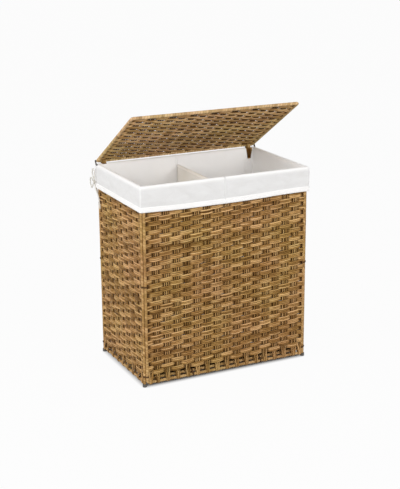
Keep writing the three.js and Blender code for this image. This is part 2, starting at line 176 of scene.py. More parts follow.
def even_route(points, spacing, closed=False):
    """Points at even steps along a smooth curve through the given ones."""
    knots = np.array(points, dtype=float)
    if closed:
        knots = np.vstack([knots[-1], knots, knots[0], knots[1]])
    else:
        knots = np.vstack([2 * knots[0] - knots[1], knots, 2 * knots[-1] - knots[-2]])
    shares = np.linspace(0, 1, 24, endpoint=False)[:, None]
    spans = []
    for a, b, c, d in zip(knots, knots[1:], knots[2:], knots[3:]):
        cubic = -a + 3 * b - 3 * c + d
        square = 2 * a - 5 * b + 4 * c - d
        spans.append(0.5 * (2 * b + (c - a) * shares + square * shares**2 + cubic * shares**3))
    dense = np.vstack([*spans, knots[-2:-1]])
    return follow(dense, *pace(dense, spacing))


def route_length(route):
    return float(np.linalg.norm(np.diff(route, axis=0), axis=1).sum())


def carried_sides(route, closed=False):
    """A side vector at each point of a route, carried along it without twist."""
    tangents = np.gradient(route, axis=0)
    if closed:
        tangents[0] = tangents[-1] = route[1] - route[-2]
    tangents /= np.linalg.norm(tangents, axis=1, keepdims=True)
    side = np.cross(tangents[0], (0.31, 0.53, 0.79))
    sides = []
    for tangent in tangents:
        side = side - tangent * side.dot(tangent)
        side = side / np.linalg.norm(side)
        sides.append(side)
    sides = np.array(sides)
    across = np.cross(sides, tangents)
    if closed:
        slip = math.atan2(sides[-1].dot(across[0]), sides[-1].dot(sides[0]))
        turns = -slip * np.linspace(0, 1, len(route))[:, None]
        sides, across = (
            sides * np.cos(turns) + across * np.sin(turns),
            across * np.cos(turns) - sides * np.sin(turns),
        )
    return sides, across


def rings_round(route, reach, angles, sides, across):
    """Rings of points round a route, at a given reach from it."""
    return (
        route[:, None]
        + (reach * np.cos(angles))[..., None] * sides[:, None]
        + (reach * np.sin(angles))[..., None] * across[:, None]
    )


def roll_grid(bm, rings, values=None, capped=False):
    """Lays a grid on rings of points, one ring after the other, and sets float layers on it.
    A capped grid ends in a point in the middle of its first and last ring."""
    if capped:
        tips = np.broadcast_to(rings.mean(axis=1, keepdims=True), rings.shape)
        rings = np.concatenate([tips[:1], rings, tips[-1:]])
        values = {
            key: np.concatenate([numbers[:1], numbers, numbers[-1:]])
            for key, numbers in values.items()
        }
    along, around = rings.shape[:2]
    made = bmesh.ops.create_grid(
        bm, x_segments=around - 1, y_segments=along - 1, size=1, calc_uvs=True
    )
    for vert, spot in zip(made["verts"], rings.reshape(-1, 3)):
        vert.co = spot
    for key, numbers in (values or {}).items():
        layer = bm.verts.layers.float[key]
        for vert, number in zip(made["verts"], numbers.ravel()):
            vert[layer] = number


def close_up(bm):
    """Joins the edges of the rolled grids."""
    bmesh.ops.remove_doubles(bm, verts=bm.verts, dist=1e-6)
    bmesh.ops.recalc_face_normals(bm, faces=bm.faces)


def new_bmesh(*floats):
    """An empty bmesh with a UV map and the named float layers."""
    bm = bmesh.new()
    bm.loops.layers.uv.new("UVMap")
    for key in floats:
        bm.verts.layers.float.new(key)
    return bm


def twisted_cord(bm, route, closed=False, sections=18):
    """A tube round a route, with the grooves between its three plies."""
    sides, across = carried_sides(route, closed)
    angles = np.linspace(0, 2 * math.pi, sections + 1)
    steps = np.arange(len(route)) * route_length(route) / (len(route) - 1)
    lay = cord_lay
    if closed:
        lay = steps[-1] / max(1, round(steps[-1] / cord_lay))
    twist = angles[None, :] - 2 * math.pi * steps[:, None] / lay
    ply = np.abs(np.cos(1.5 * twist)) ** 0.8
    radius = cord_diameter / 2 * (0.86 + 0.14 * ply)
    rings = rings_round(route, radius, angles, sides, across)
    roll_grid(bm, rings, {"ply": ply}, capped=not closed)


cotton, tree, shader = new_material("cord_cotton")
cotton_spot = grow(tree, "TexCoord", {}, "Object")
fluff = speckle(tree, cotton_spot, 900, 3)
# Painted shade in the grooves between the plies, where ply is low, over random fuzz
mottle_and_groove_shade = reckon(tree, "MULTIPLY", read_layer(tree, "ply"), fluff)
cotton_tones = [(0.0, (0.52, 0.49, 0.43)), (0.3, (0.75, 0.725, 0.67)), (0.6, (0.86, 0.845, 0.80))]
connect(tree, shader, {
    "Base Color": ramp(tree, mottle_and_groove_shade, cotton_tones),
    "Normal": bump(tree, fluff, 0.5, 0.0003),
    "Roughness": 0.95,
    "Sheen Weight": 0.25,
})

# The knot is the cord itself, drawn up tight in three crossings round a small core.
knot_turns = np.linspace(0, 2 * math.pi, 48, endpoint=False)
knot_route = np.stack([
    1.25 * (np.sin(knot_turns) + 2 * np.sin(2 * knot_turns)),
    1.9 * np.sin(3 * knot_turns),
    1.55 * (np.cos(knot_turns) - 2 * np.cos(2 * knot_turns)),
], axis=1)
knot_bmesh = new_bmesh("ply")
knot_path = even_route(knot_middle + knot_route * mm, cord_spacing, closed=True)
twisted_cord(knot_bmesh, knot_path, closed=True, sections=12)
close_up(knot_bmesh)
# The core has no ply value, so it takes the cord's darkest colour, the painted shade of its grooves
knot_core = bmesh.ops.create_uvsphere(knot_bmesh, u_segments=16, v_segments=10, radius=4.6 * mm)
bmesh.ops.scale(knot_bmesh, vec=(1, 1, 1.35), verts=knot_core["verts"])
bmesh.ops.translate(knot_bmesh, vec=Vector(knot_middle), verts=knot_core["verts"])
knot = add_piece("drawstring_knot_tied", knot_bmesh, cotton, "cord_cotton", "drawstring_knot")

cord_steps = {
    "loop_upper": [
        (0, 2.4, 7.4), (-0.5, 6, 13), (-1, 10.5, 21), (-1.5, 12, 29), (-1.5, 8, 37),
        (-1.5, 1, 40), (-1.5, -5, 35), (-1, -6.5, 27), (-0.5, -5, 17), (0, -2.4, 7.4),
    ],
    "loop_rear": [
        (-2.8, 6.2, 3.4), (-3.5, 9.5, 8.5), (-4, 16, 11), (-4, 22, 6), (-4, 23, -3),
        (-4, 20, -12), (-4, 14, -18), (-4, 8, -16), (-3.5, 5.5, -10.5), (-3.2, 4, -6.9),
    ],
    "tail_side": [
        (1, -1, -7.4), (1, -2, -12), (1.6, -6, -20.5), (3, -12, -30), (4, -20, -41),
        (4.2, -25, -55), (4.2, -29, -75),
    ],
    "tail_rear": [
        (1.5, 3.5, -6.9), (4, 6, -13), (8, 7, -22), (12, 6, -33), (14, 4.5, -46),
        (14.5, 4, -62),
    ],
}
for part, steps in cord_steps.items():
    stops = knot_middle + np.array(steps) * mm
    cord_bmesh = new_bmesh("ply")
    twisted_cord(cord_bmesh, even_route(stops, cord_spacing))
    close_up(cord_bmesh)
    node = f"drawstring_{part}"
    piece = add_piece(f"{node}_cord", cord_bmesh, cotton, "cord_cotton", node)

# Wrapped frames
# Each wall, and the bottom, is woven on a ring of wire that is wrapped all along with a flat
# strip of plastic fibre. The side rings also carry the legs.
shift = -2.456
rod_radius = 4.2
end_rod_x = 253.981
end_rod_y = 153.981
wall_x = 260.0
wall_y = 160.0
low_rod_z = 14.0
rim_rod_z = 582.0
leg_end_z = 2.4
bottom_rod_z = 22.3
bottom_rod_x = 250.5
bottom_rod_y = 150.5
rod_bend = 6.0
strip_width = 8.4
wrap_sides = 12
rod_spacing = 1.35
frame_length = 1.7
rod_girth = 0.025
dye_tones = [(0.35, (0.97, 1.0, 0.88)), (0.5, (1.0, 0.98, 0.95)), (0.65, (1.0, 0.94, 1.0))]


def mix_colours(tree, share, first, second, way="MIX"):
    """A mixture of two colours. A mix node has them as 6 and 7, and their mixture as 2."""
    inputs = {"Factor": share, 6: first, 7: second}
    return grow(tree, "Mix", inputs, 2, data_type="RGBA", blend_type=way)


def strand_material(name, dark, middle, light, painted_shade, gloss):
    """Flat woven fibre: long streaks, a tone of its own for each strand, painted shade in hollows.
    """
    made, tree, shader = new_material(name)
    place = grow(tree, "UVMap", {}, "UV", uv_map="UVMap")
    spot = grow(tree, "TexCoord", {}, "Object")
    tone = read_layer(tree, "tone")

    own = grow(tree, "CombineXYZ", {"Z": tone})
    lengthened = grow(tree, "Mapping", {"Vector": place, "Scale": (45, 1100, 1)})
    fibre_spot = reckon(tree, "MULTIPLY_ADD", own, (0, 0, 300), lengthened, kind="VectorMath")
    fibre = speckle(tree, fibre_spot, 1, 4)
    patch_spot = reckon(tree, "MULTIPLY_ADD", own, (0, 0, 9), spot, kind="VectorMath")
    patches = speckle(tree, patch_spot, 11, 2)

    mixed = reckon(tree, "MULTIPLY_ADD", tone, 0.45, -0.62)
    mixed = reckon(tree, "MULTIPLY_ADD", patches, 1.2, mixed)
    mixed = reckon(tree, "MULTIPLY_ADD", fibre, 0.85, mixed)
    base = ramp(tree, mixed, [(0.15, dark), (0.55, middle), (0.95, light)])
    dye = ramp(tree, speckle(tree, spot, 7, 3), dye_tones)
    dyed = mix_colours(tree, 1.0, base, dye, "MULTIPLY")
    warmed = mix_colours(tree, tone, dyed, (1.0, 0.90, 0.82, 1), "MULTIPLY")
    # Painted shade: the float layer read here mixes in a dark colour where strands lie in hollows
    with_painted_shade = mix_colours(tree, read_layer(tree, "painted_shade"), warmed, (*painted_shade, 1))
    rough = {"Value": fibre, "To Min": gloss - 0.08, "To Max": gloss + 0.14}
    connect(tree, shader, {
        "Base Color": with_painted_shade,
        "Roughness": grow(tree, "MapRange", rough),
        "Normal": bump(tree, fibre, 0.55, 0.0004),
        "Specular IOR Level": 0.07,
    })
    return made


wrap_fibre = strand_material(
    "wrap_strand",
    dark=(0.170, 0.090, 0.027),
    middle=(0.390, 0.238, 0.088),
    light=(0.620, 0.440, 0.215),
    painted_shade=(0.100, 0.042, 0.006),
    gloss=0.5,
)


def corner_route(corners, bend, closed=True):
    """A route along straight runs that turns each corner in a round bend."""
    corners = [np.array(corner, dtype=float) for corner in corners]
    turned = range(len(corners)) if closed else range(1, len(corners) - 1)
    points = [] if closed else [corners[0]]
    for index in turned:
        here = corners[index]
        before = corners[index - 1] - here
        after = corners[(index + 1) % len(corners)] - here
        before /= np.linalg.norm(before)
        after /= np.linalg.norm(after)
        centre = here + bend * (before + after)
        for turn in np.linspace(0, math.pi / 2, 7):
            points.append(centre - bend * (after * math.cos(turn) + before * math.sin(turn)))
    points.append(points[0] if closed else corners[-1])
    points = np.array(points)
    return follow(points, *pace(points, rod_spacing))


def wrap_rod(bm, route, radius, closed, seed):
    """A rod wrapped with a flat strip: each turn of the strip is a low crowned band."""
    chance = np.random.default_rng(seed)
    sides, across = carried_sides(route, closed)
    angles = np.linspace(0, 2 * math.pi, wrap_sides + 1)
    length = route_length(route)
    steps = np.linspace(0, length, len(route))
    turns = max(1, round(length / strip_width))
    place = steps[:, None] * turns / length - angles[None, :] / (2 * math.pi)
    crown = np.abs(np.sin(math.pi * place)) ** 0.45
    turn_number = np.floor(place).astype(int) % turns
    turn_size = chance.uniform(0.97, 1.0, turns)[turn_number]
    tone = chance.uniform(0.15, 0.95, turns)[turn_number]
    reach = radius * (0.92 * turn_size + 0.08 * crown)
    rings = rings_round(route, reach, angles, sides, across)
    # Painted shade in the grooves between the turns of the strip
    shades = {"tone": tone, "painted_shade": 0.55 * (1 - crown) ** 1.5}
    roll_grid(bm, rings * mm, shades, capped=not closed)


def scale_uv(piece, along, around, turned=False):
    """Gives the UV map of rolled grids their real lengths, in metres. Where it is turned, the
    fibres run round the grid and not along it."""
    layer = piece.data.uv_layers["UVMap"].uv
    flat = np.empty(2 * len(layer), dtype=np.float32)
    layer.foreach_get("vector", flat)
    pairs = flat.reshape(-1, 2)
    pairs[:] = pairs[:, ::-1] * (along, around)
    if turned:
        pairs[:] = pairs[:, ::-1]
    layer.foreach_set("vector", flat)


def strand_piece(name, bm, look, *nodes, along, around, body="hamper", turned=False):
    """Closes rolled strands and makes them into a piece with a UV map of their real lengths. Its
    look is a material and a slot."""
    close_up(bm)
    made = add_piece(name, bm, *look, *nodes, body=body)
    scale_uv(made, along, around, turned)
    return made


def add_frame(node, runs, radius=rod_radius, body="hamper", material=wrap_fibre):
    """A wrapped frame from its runs of rod, each a route and whether it closes on itself."""
    bm = new_bmesh("tone", "painted_shade")
    for number, (route, closed) in enumerate(runs):
        wrap_rod(bm, route, radius, closed, seed=len(node) + 31 * number)
    strand_piece(
        f"{node}_wrapped", bm, (material, "wrap_strand"), node,
        along=frame_length, around=rod_girth, body=body, turned=True,
    )


for name, side in [("front", -1), ("back", 1)]:
    y = side * wall_y + shift
    ring = [
        (-end_rod_x, y, low_rod_z), (end_rod_x, y, low_rod_z),
        (end_rod_x, y, rim_rod_z), (-end_rod_x, y, rim_rod_z),
    ]
    add_frame(f"{name}_frame", [(corner_route(ring, rod_bend), True)])

for name, side in [("left", -1), ("right", 1)]:
    x = side * wall_x
    arch = [
        (x, shift - end_rod_y, leg_end_z), (x, shift - end_rod_y, rim_rod_z),
        (x, shift + end_rod_y, rim_rod_z), (x, shift + end_rod_y, leg_end_z),
    ]
    bar_ends = [(x, shift + end * (end_rod_y - 1), low_rod_z) for end in (-1, 1)]
    bar = np.linspace(*bar_ends, 226)
    add_frame(f"{name}_frame", [(corner_route(arch, rod_bend, closed=False), False), (bar, False)])

ring = [
    (-bottom_rod_x, shift - bottom_rod_y, bottom_rod_z),
    (bottom_rod_x, shift - bottom_rod_y, bottom_rod_z),
    (bottom_rod_x, shift + bottom_rod_y, bottom_rod_z),
    (-bottom_rod_x, shift + bottom_rod_y, bottom_rod_z),
]
add_frame("bottom_frame", [(corner_route(ring, rod_bend), True)])

# Woven panels of the walls
# Plain weave of flat fibre. Every warp is three upright strands, and every row of weft is three
# strands side by side that spread over one warp and dive behind the next.
strand_edge_shade = 0.8
weft_width = 5.3
weft_thick = 2.3
weft_relief = 3.0
side_relief = 2.3
weft_wide = 4.7
weft_narrow = 4.25
weft_tilt = 0.75
weft_tuck = 2.4
weft_wave = 0.25
outer_weft_drop = 0.45
weft_width_range = (0.94, 1.04)
weft_relief_range = (0.85, 1.08)
weft_spread_range = (0.96, 1.08)
weft_tilt_range = (0.3, 1.7)
row_tone_range = (0.25, 0.75)
row_slip = 0.2
weft_shade = 0.95
weft_girth = 0.011
weft_shares = (0, 0.14, 0.27, 0.5, 0.73, 0.86)
weft_swings = (1, 0.96, 0.78, 0, -0.78, -0.96)
warp_width = 3.7
warp_thick = 2.6
warp_step = 5.4
warp_sway = 0.7
warp_end_thick = 1.7
warp_end_shade = 0.12
warp_wave = 0.3
warp_slip = 0.3
warp_tone_range = (0.3, 0.7)
warp_girth = 0.010
strand_sides = 6
wall_row = 12.8
side_row = 12.2
long_spaces = 16
short_spaces = 8

wall_fibre = strand_material(
    "woven_strand",
    dark=(0.108, 0.047, 0.009),
    middle=(0.372, 0.210, 0.065),
    light=(0.765, 0.530, 0.250),
    painted_shade=(0.045, 0.015, 0.002),
    gloss=0.45,
)


def lay_strand(bm, centres, width_way, widths, thicks, sides, tone, painted_shade, capped=True):
    """Rolls a grid into one flat strand along its centres. Its width and thickness are one number
    each, or one for every centre."""
    tangents = np.gradient(centres, axis=0)
    tangents /= np.linalg.norm(tangents, axis=1, keepdims=True)
    thick_way = np.cross(width_way, tangents)
    thick_way /= np.linalg.norm(thick_way, axis=1, keepdims=True)
    angles = np.linspace(0, 2 * math.pi, sides + 1)
    flat = np.reshape(widths, (-1, 1)) / 2 * np.cos(angles)
    crown = np.reshape(thicks, (-1, 1)) / 2 * np.sin(angles)
    rings = (
        centres[:, None]
        + flat[..., None] * np.array(width_way)
        + crown[..., None] * thick_way[:, None]
    )
    # Painted shade along both edges of every strand, where it meets the next one
    shades = painted_shade.reshape(len(centres), -1) + strand_edge_shade * np.abs(np.cos(angles)) ** 4
    shades = np.clip(shades, 0, 1)
    tones = np.full(shades.shape, tone)
    roll_grid(bm, rings * mm, {"tone": tones, "painted_shade": shades}, capped)


class Panel:
    """Where a woven sheet lies: its middle, its directions, its rods and its rows."""

    def __init__(self, middle, across, upward, outward, half, spaces, low, high, row, relief):
        vectors = [np.array(vector, dtype=float) for vector in (middle, across, upward, outward)]
        self.middle, self.across, self.upward, self.outward = vectors
        self.half = half
        self.spaces = spaces
        self.low = low
        self.high = high
        self.rows = round((high - low) / row)
        self.row = (high - low) / self.rows
        self.relief = relief

    def points(self, across, upward, outward):
        return (
            self.middle
            + np.asarray(across)[:, None] * self.across
            + np.asarray(upward)[:, None] * self.upward
            + np.asarray(outward)[:, None] * self.outward
        )


def weave_wefts(part, panel, material, seed, ends=1.0, body="hamper"):
    """All the weft strands of a panel. Their ends are tucked under the wrapping of its rods. A
    strand has painted shade on the face that looks at the strands it crosses."""
    chance = np.random.default_rng(seed)
    hand = np.cross(panel.upward, panel.across).dot(panel.outward)
    facing = hand * np.sin(np.linspace(0, 2 * math.pi, strand_sides + 1))
    bm = new_bmesh("tone", "painted_shade")
    pitch = 2 * panel.half / panel.spaces
    knots = np.linspace(-panel.half, panel.half, panel.spaces + 1)
    phase = np.add.outer(np.arange(panel.spaces), weft_shares).ravel()
    phase = np.append(phase, panel.spaces)
    swing = np.append(np.outer((-1.0) ** np.arange(panel.spaces), weft_swings).ravel(), 1.0)
    swing[-1] *= (-1) ** panel.spaces
    inner = phase * pitch - panel.half
    inner[0] += weft_tuck
    inner[-1] -= weft_tuck
    for row in range(panel.rows):
        over = 1 if row % 2 else -1
        height = panel.low + (row + 0.5) * panel.row + chance.normal(0, row_slip)
        relief = panel.relief * chance.uniform(*weft_relief_range, len(knots))
        relief[[0, -1]] *= ends
        spread = chance.uniform(*weft_spread_range, len(knots))
        tilt = weft_tilt * chance.uniform(*weft_tilt_range, len(knots))
        row_tone = chance.uniform(*row_tone_range)
        for strand in (-1, 0, 1):
            outward = over * swing * np.interp(inner, knots, relief)
            outward -= outer_weft_drop * abs(strand) * np.abs(swing) * np.sign(outward)
            apart = weft_narrow + (weft_wide - weft_narrow) * np.abs(swing)
            apart *= np.interp(inner, knots, spread)
            upward = height + strand * apart
            upward += over * np.sin(math.pi * phase) * np.interp(inner, knots, tilt)
            upward += weft_wave * np.sin(inner / chance.uniform(19, 37) + chance.uniform(0, 6))
            # Painted shade on the faces turned towards the strands they cross, most where they
            # swing furthest
            inward = np.clip(0.15 - np.outer(np.sign(over * swing), facing), 0, 1)
            painted_shade = np.clip(1.6 * np.abs(swing) - 0.4, 0, 1)[:, None] * inward * weft_shade
            lay_strand(
                bm,
                panel.points(inner, upward, outward),
                panel.upward,
                weft_width * chance.uniform(*weft_width_range),
                weft_thick,
                strand_sides,
                float(np.clip(row_tone + chance.normal(0, 0.28), 0, 1)),
                painted_shade,
            )
    strand_piece(
        f"{part}_wefts", bm, (material, "woven_strand"), f"{part}_weave",
        along=2 * panel.half * mm, around=weft_girth, body=body,
    )


def weave_warps(
    part, panel, material, seed, low_end, high_end,
    width=warp_width, step=warp_step, painted_warp_shade=0.3, gather=1.0, body="hamper",
):
    """All the warp strands. Each end is a list of (outward, upward) points past the last row."""
    chance = np.random.default_rng(seed)
    bm = new_bmesh("tone", "painted_shade")
    pitch = 2 * panel.half / panel.spaces
    rise = np.linspace(panel.low, panel.high, 2 * panel.rows + 1)
    low_out, low_up = np.array(low_end).T
    high_out, high_up = np.array(high_end).T
    for group in range(1, panel.spaces):
        middle = -panel.half + group * pitch + chance.normal(0, warp_slip)
        group_tone = chance.uniform(*warp_tone_range)
        for strand in (-1, 0, 1):
            parity = -1 if group % 2 else 1
            sway = np.cos(math.pi * (rise - panel.low) / panel.row - math.pi / 2)
            sway *= parity * warp_sway
            upward = np.concatenate([low_up, rise, high_up])
            outward = np.concatenate([low_out, sway, high_out])
            wander = warp_wave * np.sin(upward / chance.uniform(25, 50) + chance.uniform(0, 6))
            apart = np.interp(upward, (20, panel.low), (gather * step, step))
            across = middle + strand * apart + wander
            straight = slice(len(low_end), len(low_end) + len(rise))
            thick = np.full(len(upward), warp_end_thick)
            thick[straight] = warp_thick
            # Painted shade along each warp: one amount on its ends round the rods, another on its
            # straight part
            painted_shade = np.full(len(upward), warp_end_shade)
            painted_shade[straight] = painted_warp_shade
            lay_strand(
                bm,
                panel.points(across, upward, outward),
                panel.across,
                width,
                thick,
                strand_sides,
                float(np.clip(group_tone + chance.normal(0, 0.2), 0, 1)),
                painted_shade,
            )
    strand_piece(
        f"{part}_warps", bm, (material, "woven_strand"), f"{part}_weave",
        along=(panel.high - panel.low) * mm, around=warp_girth, body=body,
    )


weave_low = 37.0
side_low = 33.0
weave_high = 577.0
low_gather = 0.66
around_low_rod = [
    (-4.4, 25), (-4.9, 17), (-4.6, 12), (-3.2, 9.6), (0, 9.1), (3.2, 9.8), (4.6, 12.2),
    (4.9, 16), (4.0, 22), (2.2, 29),
]
under_rim_rod = [(-1.5, 579), (-3.0, 581)]
long_side = (end_rod_x, long_spaces, weave_low, weave_high, wall_row, weft_relief)
short_side = (end_rod_y, short_spaces, side_low, weave_high, side_row, side_relief)
panels = {
    "front": Panel((0, shift - wall_y, 0), (1, 0, 0), (0, 0, 1), (0, -1, 0), *long_side),
    "back": Panel((0, shift + wall_y, 0), (-1, 0, 0), (0, 0, 1), (0, 1, 0), *long_side),
    "left": Panel((-wall_x, shift, 0), (0, -1, 0), (0, 0, 1), (-1, 0, 0), *short_side),
    "right": Panel((wall_x, shift, 0), (0, 1, 0), (0, 0, 1), (1, 0, 0), *short_side),
}
corner_width = 5.4
corner_spacing = 2.6
corner_length = 0.08
wall_warp_shade = 0.12
corner_steps = {
    "upright": [
        (6.4, 60, -1.2), (6.3, 44, 0.6), (6.2, 30, 2.2), (6.1, 20, 4.2), (6.0, 13, 4.7),
        (6.0, 9.6, 3.2), (6.0, 9.1, 0), (6.0, 10, -3.3), (6.0, 15, -4.8), (6.0, 24, -4.2),
    ],
    "slanted": [
        (18, 58, -1.2), (16.5, 46, 1.4), (13.5, 34, 2.6), (11.5, 24, 3.8), (10.9, 17, 4.9),
        (10.7, 12, 4.5), (10.6, 9.2, 2.8), (10.6, 9.1, -0.5), (10.6, 10.4, -3.6), (10.6, 16, -4.8),
        (10.6, 24, -4.2),
    ],
}
behind_steps = [
    (52, -2.6), (44, -2.9), (34, -3.1), (26, -4.6), (20, -5.6), (14, -6.2), (10.4, -5.0),
]
behind_insets = {
    "behind": (9, 10, 11, 11.5, 11.5, 11.5, 11.5),
    "behind the slant": (17, 18, 18.5, 19, 19, 19, 19),
    "next to the warp": (27, 27.5, 28, 28, 28, 28, 28),
}
for name, insets in behind_insets.items():
    corner_steps[name] = [(inset, *step) for inset, step in zip(insets, behind_steps)]


def lay_corner_strands(part, panel, seed):
    """Next to each post a strand comes down upright and one on a slant, round the low rod, and
    three short ones close the corner behind them."""
    chance = np.random.default_rng(seed)
    bm = new_bmesh("tone", "painted_shade")
    for end in (-1, 1):
        for steps in corner_steps.values():
            inset, upward, outward = even_route(steps, corner_spacing).T
            # Painted shade on these strands from 40 mm up, where they run behind the weave
            lay_strand(
                bm,
                panel.points(end * (panel.half - inset), upward, outward),
                panel.across,
                corner_width,
                weft_thick,
                strand_sides,
                chance.uniform(0.3, 0.9),
                np.clip((upward - 40) / 20, 0, 0.6),
            )
    strand_piece(
        f"{part}_corner_strands", bm, (wall_fibre, "woven_strand"), f"{part}_weave",
        along=corner_length, around=warp_girth,
    )


for number, (part, panel) in enumerate(panels.items()):
    weave_wefts(part, panel, wall_fibre, seed=40 + number)
    weave_warps(
        part, panel, wall_fibre, 60 + number, around_low_rod, under_rim_rod,
        painted_warp_shade=wall_warp_shade, gather=low_gather,
    )
    lay_corner_strands(part, panel, seed=75 + number)

# Woven bottom
# The same weave, laid flat inside the bottom frame. Its warps run from front to back and turn
# round the frame's long rods.
bottom_end = 138.0
bottom_row = 12.6
bottom_relief = 2.2
bottom_panel = Panel(
    (0, shift, bottom_rod_z), (1, 0, 0), (0, 1, 0), (0, 0, -1),
    bottom_rod_x, long_spaces, -bottom_end, bottom_end, bottom_row, bottom_relief,
)
over_far_rod = [(4.2, 146), (4.4, 152), (1.0, 155.2), (-3.0, 154.4), (-4.9, 151), (-3.9, 147)]
over_near_rod = [(outward, -upward) for outward, upward in reversed(over_far_rod)]
weave_wefts("bottom", bottom_panel, wall_fibre, seed=51)
weave_warps("bottom", bottom_panel, wall_fibre, 71, over_near_rod, over_far_rod)

# Ties
# Narrow strands in two turns, coloured near black as painted shade. They bind the rods of
# neighbouring walls at each corner, at three heights, and hold the bottom frame to the lowest rods.
tie_radius = 5.0
tie_strand_width = 2.3
tie_strand_thick = 1.3
tie_apart = 2.5
tie_sag = 0.5
tie_levels = {"low": 32, "middle": 300, "high": 545}
tie_x = 111.117
turn_sides = 8
turn_spacing = 1.6
least_turn_steps = 16

tie_fibre = strand_material(
    "tie_strand",
    dark=(0.030, 0.014, 0.006),
    middle=(0.090, 0.046, 0.020),
    light=(0.200, 0.115, 0.052),
    painted_shade=(0.015, 0.006, 0.002),
    gloss=0.5,
)


def taut_loop(first, first_radius, second, second_radius, steps=10):
    """The closed line that a taut band makes round two circles in a plane."""
    gap = np.array(second) - np.array(first)
    heading = math.atan2(gap[1], gap[0])
    spread = math.acos((first_radius - second_radius) / np.hypot(*gap))
    back = heading + spread + np.linspace(0, 1, steps) * (2 * math.pi - 2 * spread)
    front = heading - spread + np.linspace(0, 1, steps) * 2 * spread
    rounds = [(first, first_radius, back), (second, second_radius, front)]
    points = [
        (middle[0] + radius * math.cos(angle), middle[1] + radius * math.sin(angle))
        for middle, radius, angles in rounds
        for angle in angles
    ]
    return np.array([*points, points[0]])


def lay_turn(bm, line, width_way, width, thick, tone, shade_top=0.0):
    """One closed turn of flat strand along a closed line, with painted shade below a given height.
    """
    run, steps = pace(line, turn_spacing, least_turn_steps)
    centres = follow(line, run, steps)
    shade_below = 0.1 + 0.85 * np.clip((shade_top - centres[:, 2]) / 8, 0, 1)
    lay_strand(bm, centres, width_way, width, thick, turn_sides, tone, shade_below, capped=False)


tie_lines = []
for right in (-1, 1):
    for front in (-1, 1):
        outline = taut_loop(
            (right * end_rod_x, front * wall_y), tie_radius,
            (right * wall_x, front * end_rod_y), tie_radius,
        )
        for level in tie_levels.values():
            for turn in (-0.5, 0.5):
                sag = tie_sag * np.sin(np.linspace(0, 2 * math.pi, len(outline)))
                heights = level + turn * tie_apart + sag
                line = np.column_stack([outline[:, 0], outline[:, 1] + shift, heights])
                tie_lines.append((line, (0, 0, 1)))
for front in (-1, 1):
    outline = taut_loop(
        (front * wall_y, low_rod_z), tie_radius, (front * bottom_rod_y, bottom_rod_z), tie_radius
    )
    for x in (-tie_x, tie_x):
        for turn in (-0.5, 0.5):
            places = np.full(len(outline), x + turn * tie_apart)
            line = np.column_stack([places, outline[:, 0] + shift, outline[:, 1]])
            tie_lines.append((line, (1, 0, 0)))

ties = new_bmesh("tone", "painted_shade")
chance = np.random.default_rng(5)
for line, width_way in tie_lines:
    lay_turn(ties, line, width_way, tie_strand_width, tie_strand_thick, chance.uniform(0, 1))
tie_places = [f"{row}_{column}" for row in ("front", "back") for column in ("left", "right")]
tie_nodes = [f"floor_tie_{place}" for place in tie_places]
tie_nodes += [f"corner_tie_{place}_{level}" for place in tie_places for level in tie_levels]
strand_piece(
    "strand_ties", ties, (tie_fibre, "tie_strand"), *tie_nodes, along=0.06, around=0.007
)

# Feet
# Grey plastic caps pushed onto the four legs. Each is a short cup with a rounded lower edge and
# a small lip.
foot_radius = 6.2
foot_height = 9.7
foot_wall = 4.6


def speckled_material(name, scale, detail, tones, least_rough, most_rough, relief, metal=0.0):
    """Plastic or paint with fine specks in its colour, its gloss and its surface."""
    made, tree, shader = new_material(name)
    specks = speckle(tree, grow(tree, "TexCoord", {}, "Object"), scale, detail)
    rough = {"Value": specks, "To Min": least_rough, "To Max": most_rough}
    connect(tree, shader, {
        "Base Color": ramp(tree, specks, tones),
        "Roughness": grow(tree, "MapRange", rough),
        "Normal": bump(tree, specks, *relief),
        "Metallic": metal,
    })
    return made


foot_plastic = speckled_material(
    "foot_plastic",
    scale=420,
    detail=4,
    tones=[(0.3, (0.062, 0.058, 0.054)), (0.6, (0.105, 0.098, 0.090)), (0.8, (0.17, 0.16, 0.15))],
    least_rough=0.45,
    most_rough=0.75,
    relief=(0.2, 0.0002),
)
foot_profile = [
    (0, 0), (foot_radius - 1.4, 0), (foot_radius - 0.4, 0.4), (foot_radius, 1.4),
    (foot_radius - 0.1, foot_height - 1.6), (foot_radius, foot_height - 1.0),
    (foot_radius - 0.4, foot_height), (foot_wall, foot_height), (foot_wall, 2.1), (0, 2.1),
]
for row, front in [("front", -1), ("back", 1)]:
    for column, right in [("left", -1), ("right", 1)]:
        foot = bmesh.new()
        rim = [foot.verts.new((reach * mm, 0, height * mm)) for reach, height in foot_profile]
        profile_edges = [foot.edges.new(pair) for pair in zip(rim, rim[1:])]
        bmesh.ops.spin(
            foot, geom=rim + profile_edges, cent=(0, 0, 0), axis=(0, 0, 1), dvec=(0, 0, 0),
            angle=2 * math.pi, steps=28, use_merge=True,
        )
        close_up(foot)
        spot = Vector((right * wall_x, front * end_rod_y + shift, 0)) * mm
        bmesh.ops.translate(foot, vec=spot, verts=foot.verts)
        place = f"{row}_{column}"
        add_piece(f"foot_cap_{place}", foot, foot_plastic, "foot_plastic", f"foot_{place}")

